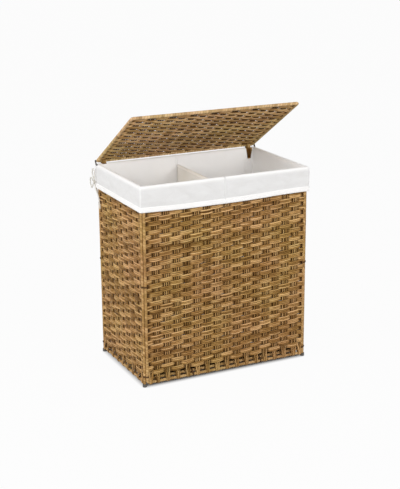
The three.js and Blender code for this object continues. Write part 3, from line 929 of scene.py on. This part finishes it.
# Liner
# One bag of white cotton blend with a sewn bottom. It hangs inside the walls, rolls over the rim
# and comes down outside as a deep cuff, slit at the back for the two hinge bindings.
bag_x = 253.3
bag_y = 153.3
bag_floor_z = 51.5
bag_edge = 16.0
roll_radius = 7.0
roll_z = 581.0
cuff_end_z = 525.3
cloth_thick = 1.2
bag_corner = 3.5
cuff_corner = 5.0
slit_x = 241.05
slit_halves = {-1: 7.8, 1: 10.65}
slit_lows = {-1: 575.0, 1: 553.0}
slit_fronts = {-1: 157.0, 1: 100.0}
slit_tapers = {-1: 0.0, 1: 5.0}
slit_taper_height = 30 * mm
bracket_cut = (263.3, 266.7, 147.0, 169.0)
bracket_cut_low = 575 * mm
cut_margin = 12 * mm
floor_ripple = 3.5
floor_crease = 1.2
wall_fold = 6.0
wall_ripple = 2.2
roll_dip = 0.35
cuff_wave = 0.9
cuff_ripple = 0.5
cuff_drawn_in = 1.2
back_folds = [(-118, 2.2, 9), (104, 1.6, 8), (221, 3.4, 6)]
hem_sag = 4.6
long_steps = 120
short_steps = 76
turn_steps = 8


def cloth_relief(tree, spot, creases, crease_strength, threads, thread_strength, thread_depth):
    """The surface of a cloth: threads that cross, over soft creases."""
    turned = grow(tree, "Mapping", {"Vector": spot, "Rotation": (0, 0, math.pi / 2)})
    ways = [grow(tree, "TexWave", {"Vector": way, **threads}, "Fac") for way in (spot, turned)]
    crossed = reckon(tree, "ADD", *ways)
    soft_relief = bump(tree, creases, crease_strength, 0.003)
    return bump(tree, crossed, thread_strength, thread_depth, soft_relief)


# The same white cloth is painted lighter inside the bag and darker on the cuff, as painted light
# and shade
inner_painted_light_tones = [(0.25, (0.95, 0.935, 0.92)), (0.75, (0.98, 0.97, 0.96))]
cuff_painted_shade_tones = [(0.25, (0.72, 0.71, 0.70)), (0.75, (0.785, 0.78, 0.775))]
liner_threads = {"Scale": 520, "Distortion": 1.2, "Detail Scale": 40}

liner_cloth, tree, shader = new_material("liner_cloth")
cloth_uv = grow(tree, "UVMap", {}, "UV", uv_map="UVMap")
creases = speckle(tree, cloth_uv, 24, 3, 0.6)
# Both tones are painted a little darker where the crease relief is low, as painted shade
inner_painted_light = ramp(tree, creases, inner_painted_light_tones)
cuff_painted_shade = ramp(tree, creases, cuff_painted_shade_tones)
liner_relief = cloth_relief(
    tree, cloth_uv, creases, crease_strength=0.35,
    threads=liner_threads, thread_strength=0.25, thread_depth=0.0002,
)
connect(tree, shader, {
    "Base Color": mix_colours(tree, read_layer(tree, "cuff"), inner_painted_light, cuff_painted_shade),
    "Normal": liner_relief,
    "Roughness": 0.9,
    "Sheen Weight": 0.15,
})


def rounded_loop(half_x, half_y, radius, z):
    """A closed loop of points round a rectangle with round corners. Its corners keep their places
    in the list whatever its size, so that loops of several sizes can be joined."""
    radius = max(radius, 0.5)
    corners = np.array([(-1, -1), (1, -1), (1, 1), (-1, 1)])
    middles = corners * (half_x - radius, half_y - radius)
    points = []
    for corner, middle in enumerate(middles):
        turns = math.pi / 2 * np.linspace(corner + 2, corner + 3, turn_steps + 1)
        bend = radius * np.stack([np.cos(turns), np.sin(turns)], axis=1)
        steps = short_steps if corner % 2 else long_steps
        arrive = middles[(corner + 1) % 4] + bend[-1]
        points += [*(middle + bend), *np.linspace(middle + bend[-1], arrive, steps + 1)[1:-1]]
    points.append(points[0])
    return np.array([(x, y + shift, z) for x, y in points])


def liner_loop(reach, z):
    radius = bag_corner + reach / (2 * roll_radius) * (cuff_corner - bag_corner)
    return rounded_loop(bag_x + reach, bag_y + reach, radius, z)


profile = [(-reach, bag_floor_z) for reach in (140, 120, 95, 70, 45, 28)]
profile += [
    (bag_edge * math.cos(turn) - bag_edge, bag_floor_z + bag_edge - bag_edge * math.sin(turn))
    for turn in np.linspace(math.pi / 2, 0, 6)
]
wall_start = len(profile)
profile += [(0, z) for z in np.linspace(bag_floor_z + bag_edge, roll_z, 38)[1:-1]]
wall_end = len(profile)
profile += [
    (roll_radius + roll_radius * math.cos(turn), roll_z + roll_radius * math.sin(turn))
    for turn in np.linspace(math.pi, 0, 9)
]
cuff_start = len(profile)
profile += [(2 * roll_radius, z) for z in np.linspace(roll_z, cuff_end_z, 11)[1:]]
loops = np.array([liner_loop(reach, z) for reach, z in profile])


def push(loop_row):
    """The level directions that point out of the bag at each point of a loop."""
    along = np.roll(loop_row[:-1], -1, axis=0) - np.roll(loop_row[:-1], 1, axis=0)
    out = np.stack([along[:, 1], -along[:, 0], np.zeros(len(along))], axis=1)
    out /= np.linalg.norm(out, axis=1, keepdims=True)
    return np.vstack([out, out[:1]])


def soft(place, scale, seed):
    """Smooth noise at a place, from 0 to 1."""
    return 0.5 + 0.5 * noise.noise(Vector(place) * scale + Vector((seed, 3.1 * seed, 7.7)))


def sagging(x, y):
    """How far the hem hangs below its line: most a little left of the front's middle."""
    front = min(1, max(0, (-130 - y) / 30))
    return front * (hem_sag * math.exp(-(((x + 50) / 190) ** 4)) - 0.8)


for row, (reach, z) in enumerate(profile):
    out = push(loops[row])
    for column, (x, y, _) in enumerate(loops[row]):
        if row < wall_start:
            lift = floor_ripple * soft((x, y, 0), 0.017, 2.0) ** 2
            lift += floor_crease * soft((x, y, 0), 0.05, 5.0)
            loops[row, column, 2] += lift * min(1, (wall_start - row) / 5)
        elif row < wall_end:
            share = (row - wall_start) / (wall_end - wall_start)
            hang = 1 - share**3
            fold = wall_fold * max(0, soft((x, y, z * 0.16), 0.028, 11.0) - 0.42)
            fold += wall_ripple * soft((x, y, z * 0.5), 0.02, 17.0)
            crease = soft((x + y, z, z), 0.06, 23.0)
            loops[row, column] -= out[column] * hang * (fold + crease)
            if y > bag_y + shift - 4:
                for middle, depth, width in back_folds:
                    pleat = depth * math.exp(-(((x - middle) / width) ** 2))
                    loops[row, column] -= out[column] * pleat * (1 - share**6)
        elif row < cuff_start:
            loops[row, column, 2] -= roll_dip * soft((x, y, 0), 0.05, 31.0)
        else:
            drop = (row - cuff_start + 1) / (len(profile) - cuff_start)
            wave = cuff_wave * soft((x, y, z * 0.35), 0.021, 37.0)
            wave += cuff_ripple * soft((x, y, z), 0.05, 41.0)
            drawn_in = cuff_drawn_in * math.exp(-(((z - 532) / 8) ** 2))
            swell = 0.9 * (wave - 0.55) * math.sin(math.pi * min(1, 1.15 * drop))
            loops[row, column] += out[column] * (swell - drawn_in)
            loops[row, column, 2] -= sagging(x, y) * drop

liner = new_bmesh("cuff")
# The cuff layer fades the cuff's painted shade in over the last rows of the roll
on_cuff = np.clip(np.arange(len(profile)) - cuff_start + 3, 0, 3) / 3
roll_grid(liner, loops * mm, {"cuff": np.repeat(on_cuff[:, None], loops.shape[1], axis=1)})
bmesh.ops.remove_doubles(liner, verts=liner.verts, dist=1e-6)
floor_edges = [edge for edge in liner.edges if edge.is_boundary and edge.verts[0].co.z < 0.3]
bmesh.ops.holes_fill(liner, edges=floor_edges, sides=0)
bmesh.ops.recalc_face_normals(liner, faces=liner.faces)


def cut_out(bm, planes, inside):
    """Cuts the cloth along planes and takes away the part for which inside is true."""
    for spot, way in planes:
        near = [face for face in bm.faces if inside(face.calc_center_median(), cut_margin)]
        edges = list({edge for face in near for edge in face.edges})
        verts = list({vert for face in near for vert in face.verts})
        bmesh.ops.bisect_plane(
            bm, geom=verts + edges + near, dist=1e-7, plane_co=spot, plane_no=way
        )
    gone = [face for face in bm.faces if inside(face.calc_center_median(), 0)]
    bmesh.ops.delete(bm, geom=gone, context="FACES")


# The slits for the hinge bindings, and at each end a narrow cut for the pivot bracket
for side in (-1, 1):
    middle_x = side * slit_x * mm
    low_z = slit_lows[side] * mm
    taper = slit_tapers[side]
    corner_low = (slit_halves[side] - taper) * mm
    near_x, far_x, near_y, far_y = (edge * mm for edge in bracket_cut)

    def in_slit(spot, margin):
        rise = min(max((spot.z - low_z) / slit_taper_height, 0), 1)
        half = corner_low + taper * rise * mm
        behind = spot.y > slit_fronts[side] * mm
        return behind and spot.z > low_z - margin and abs(spot.x - middle_x) < half + margin

    def in_bracket_cut(spot, margin):
        beside = near_x - margin < side * spot.x < far_x + margin
        along = near_y - margin < spot.y < far_y + margin
        return beside and along and spot.z > bracket_cut_low

    cut_out(
        liner,
        [
            ((middle_x, 0, low_z), (0, 0, 1)),
            ((middle_x + corner_low, 0, low_z), (30, 0, -taper)),
            ((middle_x - corner_low, 0, low_z), (-30, 0, -taper)),
        ],
        in_slit,
    )
    cut_out(
        liner,
        [
            ((side * near_x, 0, 0), (1, 0, 0)),
            ((side * far_x, 0, 0), (1, 0, 0)),
            ((0, near_y, 0), (0, 1, 0)),
        ],
        in_bracket_cut,
    )


def thicken(piece, thickness, offset):
    """Gives a piece of cloth its thickness."""
    modifier = piece.modifiers.new("cloth", "SOLIDIFY")
    modifier.thickness = thickness * mm
    modifier.offset = offset


liner_piece = add_piece("liner_bag_sewn", liner, liner_cloth, "liner_cloth", "liner_bag")
scale_uv(liner_piece, along=0.78, around=1.68)
thicken(liner_piece, cloth_thick, -1)

# Casing
# The lower edge of the cuff is turned up and stitched down as a narrow casing for the
# drawstring, so it stands a little fuller than the cuff and is finely gathered.
casing_top = 525.0
casing_low = 515.2
casing_reach = 13.0
casing_full = 2.3
casing_painted_shade_share = 0.3
pucker = 0.35

section = [
    (0.0, casing_low + 1.2), (0.5, casing_low + 0.2), (1.4, casing_low),
    (2.1, casing_low + 1.2), (casing_full, casing_low + 4.5), (2.0, casing_top - 1.0),
    (1.3, casing_top + 1.5), (0.3, casing_top + 4.0), (-0.8, casing_top + 6.5),
    (-1.2, casing_top + 5.0), (0.0, casing_low + 1.2),
]
rings = []
for reach, z in section:
    loop = rounded_loop(
        bag_x + casing_reach + reach, bag_y + casing_reach + reach, cuff_corner + reach, z
    )
    out = push(loop)
    for column, (x, y, _) in enumerate(loop):
        near_knot = math.exp(-(((x + 268) ** 2 + (y - 160) ** 2) / 70.0**2))
        gather = math.sin(x * 1.05 + y * 1.05 + 2 * soft((x, y, 0), 0.02, 3.0))
        swell = (pucker + 0.5 * near_knot) * gather * reach / casing_full * 0.6
        loop[column] += out[column] * swell
        loop[column, 2] += 0.4 * soft((x, y, 0), 0.03, 9.0) - sagging(x, y)
    rings.append(loop)
casing = new_bmesh("cuff")
rings = np.array(rings)
# The casing takes only part of the cuff's painted shade, so it is painted lighter than the cuff
roll_grid(casing, rings * mm, {"cuff": np.full(rings.shape[:2], casing_painted_shade_share)})
strand_piece(
    "liner_casing", casing, (liner_cloth, "liner_cloth"), "liner_hem", along=0.024, around=1.7
)

# Seams
# Where the divider meets the bag its cloth is doubled in a flat seam, at the front from the
# casing over the rim and down inside. A lockstitch in cotton holds the casing.
seam_x = -7.6
seam_width = 6.5
seam_height = 1.5
seam_spacing = 4.0
stitch_pitch = 3.4
stitch_depth = 0.55
stitch_width = 0.55
stitch_ply = 0.7
stitched_row = 6

seams = new_bmesh("tone", "painted_shade", "cuff")
for side in (-1, 1):
    places = np.where(side * loops[-1, :, 1] > bag_y)[0]
    column = places[np.argmin(np.abs(loops[-1, places, 0] - seam_x))]
    spine = even_route(loops[wall_start + 2:, column], seam_spacing)
    clean = np.zeros(len(spine))
    lay_strand(seams, spine, (-side, 0, 0), seam_width, seam_height, turn_sides, 0.5, clean)
close_up(seams)
# Outside the bag the seams take the cuff's painted shade, inside the lighter tone
cuff_layer = seams.verts.layers.float["cuff"]
for vert in seams.verts:
    vert[cuff_layer] = float(abs(vert.co.y - shift * mm) > (bag_y + roll_radius) * mm)
seams_piece = add_piece("liner_seams", seams, liner_cloth, "liner_cloth", "liner_bag")
scale_uv(seams_piece, along=0.55, around=0.014)


def sew(bm, path, outward):
    """A thread along a path, in and out of the cloth at every stitch."""
    run, steps = pace(path, stitch_pitch / 5)
    centres = follow(path, run, steps)
    ways = follow(outward, run, steps)
    centres += ways * (stitch_depth * np.cos(2 * math.pi * steps / stitch_pitch) - 0.1)[:, None]
    sides, across = carried_sides(centres)
    angles = np.linspace(0, 2 * math.pi, strand_sides + 1)
    rings = rings_round(centres, stitch_width / 2, angles, sides, across)
    roll_grid(bm, rings * mm, {"ply": np.full(rings.shape[:2], stitch_ply)}, capped=True)


casing_stitches = new_bmesh("ply")
sew(casing_stitches, rings[stitched_row], push(rings[stitched_row]))
close_up(casing_stitches)
add_piece("casing_stitches", casing_stitches, cotton, "cord_cotton", "liner_hem")

# Divider
# A cream canvas panel across the middle of the bag, sewn in along its sides and bottom, that
# parts the two bins. Its top edge is turned down and stitched.
divider_x = -6.0
divider_low = 39.8
divider_high = 561.0
divider_half = 153.0
divider_thick = 2.0

canvas_tones = [(0.3, (0.95, 0.895, 0.80)), (0.7, (0.98, 0.94, 0.87))]
canvas_threads = {"Scale": 330, "Distortion": 1.5}

divider_cloth, tree, shader = new_material("divider_cloth")
canvas_uv = grow(tree, "UVMap", {}, "UV", uv_map="UVMap")
canvas_waves = speckle(tree, canvas_uv, 18, 3)
canvas_relief = cloth_relief(
    tree, canvas_uv, canvas_waves, crease_strength=0.3,
    threads=canvas_threads, thread_strength=0.35, thread_depth=0.0003,
)
connect(tree, shader, {
    # The canvas is painted a little darker where its crease relief is low, as painted shade
    "Base Color": ramp(tree, canvas_waves, canvas_tones),
    "Normal": canvas_relief,
    "Roughness": 0.95,
    "Sheen Weight": 0.1,
})

rows = np.linspace(divider_low, divider_high, 53)
columns = np.linspace(-1, 1, 33)
rings = np.zeros((len(rows), len(columns), 3))
for row, z in enumerate(rows):
    short = max(0.0, bag_edge - (z - divider_low))
    half = divider_half - (bag_edge - math.sqrt(max(0.0, bag_edge**2 - short**2)))
    for column, share in enumerate(columns):
        bow = (1 - share**2) * (1.4 * soft((share * 40, z, 0), 0.013, 3.0) - 0.7)
        rings[row, column] = (divider_x + 2 * bow, share * half + shift, z)
divider = new_bmesh()
roll_grid(divider, rings * mm)
bmesh.ops.recalc_face_normals(divider, faces=divider.faces)
divider_piece = add_piece(
    "liner_divider_panel", divider, divider_cloth, "divider_cloth", "liner_divider"
)
scale_uv(divider_piece, along=0.521, around=0.306)
thicken(divider_piece, divider_thick, 0)

divider_stitches = new_bmesh("ply")
for face in (-1, 1):
    ways = np.tile((face, 0.0, 0.0), (len(columns), 1))
    sew(divider_stitches, rings[-2] + ways * divider_thick / 2, ways)
close_up(divider_stitches)
add_piece("divider_stitches", divider_stitches, cotton, "cord_cotton", "liner_divider")

# Hinge bindings
# Three turns of wrapping strand side by side round the lid's rear rod and the rim, and three
# more round the rim and the weave. They hold the lid to the back wall and let its rod turn.
hinge_y = 163.544
hinge_z = 594.5
binding_step = 4.4
binding_width = 4.6
binding_thick = 1.4
# Below this height the bindings darken to painted shade, for the shadow down in the liner's slit
binding_shade_top = 591
binding_radius = 5.9
binding_rim_radius = 5.3
binding_low_z = 558.5
binding_low_radius = 4.6

rim_spot = (wall_y + shift, rim_rod_z)
low_spot = (wall_y + shift, binding_low_z)
binding_loops = [
    taut_loop((hinge_y, hinge_z), binding_radius, rim_spot, binding_rim_radius, steps=14),
    taut_loop(rim_spot, binding_rim_radius - 0.3, low_spot, binding_low_radius, steps=14),
]
for name, side in [("left", -1), ("right", 1)]:
    binding = new_bmesh("tone", "painted_shade")
    for outline in binding_loops:
        for strand in (-1, 0, 1):
            places = np.full(len(outline), side * slit_x + strand * binding_step)
            line = np.column_stack([places, outline[:, 0], outline[:, 1]])
            tone = 0.6 + 0.2 * strand
            lay_turn(
                binding, line, (1, 0, 0), binding_width, binding_thick, tone, binding_shade_top
            )
    node = f"hinge_binding_{name}"
    strand_piece(
        f"{node}_strands", binding, (wrap_fibre, "wrap_strand"), node, along=0.065, around=0.011
    )

# Pivot brackets
# Steel plates in dark paint on the rear legs, with the look alone added here. The pins at the
# ends of the lid's rear rod turn in them.
bracket_paint = speckled_material(
    "bracket_metal",
    scale=600,
    detail=5,
    tones=[(0.35, (0.028, 0.020, 0.014)), (0.6, (0.060, 0.045, 0.032)), (0.8, (0.14, 0.12, 0.10))],
    least_rough=0.35,
    most_rough=0.6,
    relief=(0.15, 0.0001),
    metal=0.5,
)
for name in ("hinge_bracket_left", "hinge_bracket_right"):
    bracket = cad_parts[name]
    bracket.data.materials.clear()
    bracket.data.materials.append(bracket_paint)

# Lid frame
# A ring of thicker wire, wrapped like the walls. Its rear rod is the hinge line, with a steel
# pin in each end.
lid_angle = math.radians(31.9)
lid_reach = 320.0
lid_rod_x = 259.0
lid_rod_radius = 4.7
lid_bend = 5.0
pin_radius = 2.0
pin_end = 266.1
lid_forward = np.array((0, -math.cos(lid_angle), math.sin(lid_angle)))
lid_top = np.array((0, math.sin(lid_angle), math.cos(lid_angle)))
hinge = np.array((0, hinge_y, hinge_z))

# Painted lighter than the walls' wrapping, as painted light on the lid's rods
lid_wrap_fibre = strand_material(
    "lid_wrap_strand",
    dark=(0.240, 0.145, 0.055),
    middle=(0.510, 0.350, 0.165),
    light=(0.740, 0.580, 0.340),
    painted_shade=(0.120, 0.056, 0.012),
    gloss=0.5,
)
lid_half = np.array((lid_rod_x, 0, 0))
free_edge = hinge + lid_reach * lid_forward
ring = [hinge - lid_half, hinge + lid_half, free_edge + lid_half, free_edge - lid_half]
add_frame(
    "lid_frame", [(corner_route(ring, lid_bend), True)], lid_rod_radius, "lid", lid_wrap_fibre
)

pins = bmesh.new()
sideways = Matrix.Rotation(math.pi / 2, 3, "Y")
for side in (-1, 1):
    pin = bmesh.ops.create_cone(
        pins, cap_ends=True, segments=20, radius1=pin_radius * mm, radius2=pin_radius * mm,
        depth=(pin_end - lid_rod_x) * mm,
    )["verts"]
    bmesh.ops.rotate(pins, verts=pin, cent=(0, 0, 0), matrix=sideways)
    middle = Vector((side * (pin_end + lid_rod_x) / 2, hinge_y, hinge_z)) * mm
    bmesh.ops.translate(pins, verts=pin, vec=middle)
end_edges = [edge for edge in pins.edges if edge.is_manifold and edge.calc_face_angle() > 1]
bmesh.ops.bevel(
    pins, geom=end_edges, offset=0.4 * mm, offset_type="OFFSET", affect="EDGES", segments=2,
    profile=0.5, material=-1,
)
add_piece("lid_pins", pins, bracket_paint, "bracket_metal", "lid_frame", body="lid")

# Woven lid
# A more open weave of the same fibre, painted lighter and warmer than the walls' fibre, as
# painted light for its shaded underside. Its warps turn round the rods at the hinge and the free
# edge, and its wefts round the rods at the sides.
lid_fibre = strand_material(
    "lid_strand",
    dark=(0.180, 0.084, 0.020),
    middle=(0.560, 0.330, 0.118),
    light=(0.980, 0.730, 0.390),
    painted_shade=(0.040, 0.014, 0.002),
    gloss=0.5,
)
lid_relief = 2.6
lid_warp_width = 4.5
lid_warp_step = 6.4
lid_warp_shade = 0.8
lid_end_relief = 0.3
lid_margin = 9.0
lid_row = 12.6
lid_panel = Panel(
    hinge, (1, 0, 0), lid_forward, lid_top,
    lid_rod_x, long_spaces, lid_margin, lid_reach - lid_margin, lid_row, lid_relief,
)
under_hinge_rod = [(-1.5, 3.0), (-0.8, 6.0)]
under_edge_rod = [(-0.8, lid_reach - 6.0), (-1.5, lid_reach - 3.0)]
weave_wefts("lid", lid_panel, lid_fibre, seed=81, ends=lid_end_relief, body="lid")
weave_warps(
    "lid", lid_panel, lid_fibre, 91, under_hinge_rod, under_edge_rod,
    width=lid_warp_width, step=lid_warp_step, painted_warp_shade=lid_warp_shade, body="lid",
)

# Floor and light
# A plain white floor that keeps the hamper's soft shadow, a white surround and three large lamps.
# They are what the hamper is shown in and aren't part of it.
shadow_half = (0.25, 0.15, 0)
floor_size = 30
lamp_target = Vector((0, 0, 0.35))


def seen_by_camera(tree):
    """1 where the camera looks, also by a gloss or through a clear piece, and 0 for all light."""
    sight = tree.nodes.new("ShaderNodeLightPath").outputs
    seen = reckon(tree, "MAXIMUM", sight["Is Camera Ray"], sight["Is Glossy Ray"])
    return reckon(tree, "MAXIMUM", seen, sight["Is Transmission Ray"])


floor_material, tree, shader = new_material("floor_white")
floor_spot = grow(tree, "TexCoord", {}, "Object")
floor_tones = [(0.0, (0.54, 0.54, 0.54)), (1.0, (0.56, 0.56, 0.56))]
connect(tree, shader, {
    "Base Color": ramp(tree, speckle(tree, floor_spot, 3, 2), floor_tones),
    "Roughness": 0.9,
})
# Under the hamper the floor is left to its shadow
beside = reckon(tree, "ABSOLUTE", floor_spot, kind="VectorMath")
beside = reckon(tree, "SUBTRACT", beside, shadow_half, kind="VectorMath")
beside = reckon(tree, "MAXIMUM", beside, (0, 0, 0), kind="VectorMath")
beside = reckon(tree, "LENGTH", beside, kind="VectorMath", output="Value")
clear = grow(tree, "MapRange", {"Value": beside, "From Max": 0.02, "To Min": 0.0, "To Max": 0.955})
share = reckon(tree, "MULTIPLY", seen_by_camera(tree), clear)
white = grow(tree, "Emission", {"Color": (1, 1, 1, 1), "Strength": 1.0})
blend = grow(tree, "MixShader", {"Fac": share, 1: shader.outputs["BSDF"], 2: white})
connect(tree, tree.nodes["Material Output"], {"Surface": blend})

floor = bmesh.new()
bmesh.ops.create_grid(floor, x_segments=1, y_segments=1, size=floor_size)
floor_object = make_object("floor", floor, floor_material)

world = bpy.data.worlds.new("studio")
bpy.context.scene.world = world
world.use_nodes = True
tree = world.node_tree
# Most of the light comes in low, between the floor and the height of a tall window
direction = grow(tree, "TexCoord", {}, "Generated")
upness = grow(tree, "SeparateXYZ", {0: direction}, "Z")
height = {"Value": upness, "From Min": 0.45, "From Max": 0.8}
band = grow(tree, "MapRange", {**height, "To Min": 0.62, "To Max": 0.36})
strength = {"Value": seen_by_camera(tree), "To Min": band, "To Max": 1.0}
connect(tree, tree.nodes["Background"], {
    "Color": (1, 1, 1, 1),
    "Strength": grow(tree, "MapRange", strength),
})

for name, spot, size, power in [
    ("key", (-1.97, -2.52, 1.94), 1.4, 24),
    ("front", (1.0, -3.1, 1.6), 1.6, 45),
    ("side", (-3.1, -0.3, 1.6), 1.6, 47),
]:
    lamp_data = bpy.data.lights.new(name, "AREA")
    lamp_data.size = size
    lamp_data.energy = power
    lamp = bpy.data.objects.new(name, lamp_data)
    bpy.context.collection.objects.link(lamp)
    aim = lamp_target - Vector(spot)
    turned = aim.to_track_quat("-Z", "Y").to_matrix().to_4x4()
    lamp.matrix_world = Matrix.Translation(spot) @ turned

bpy.context.scene.view_settings.view_transform = "Standard"
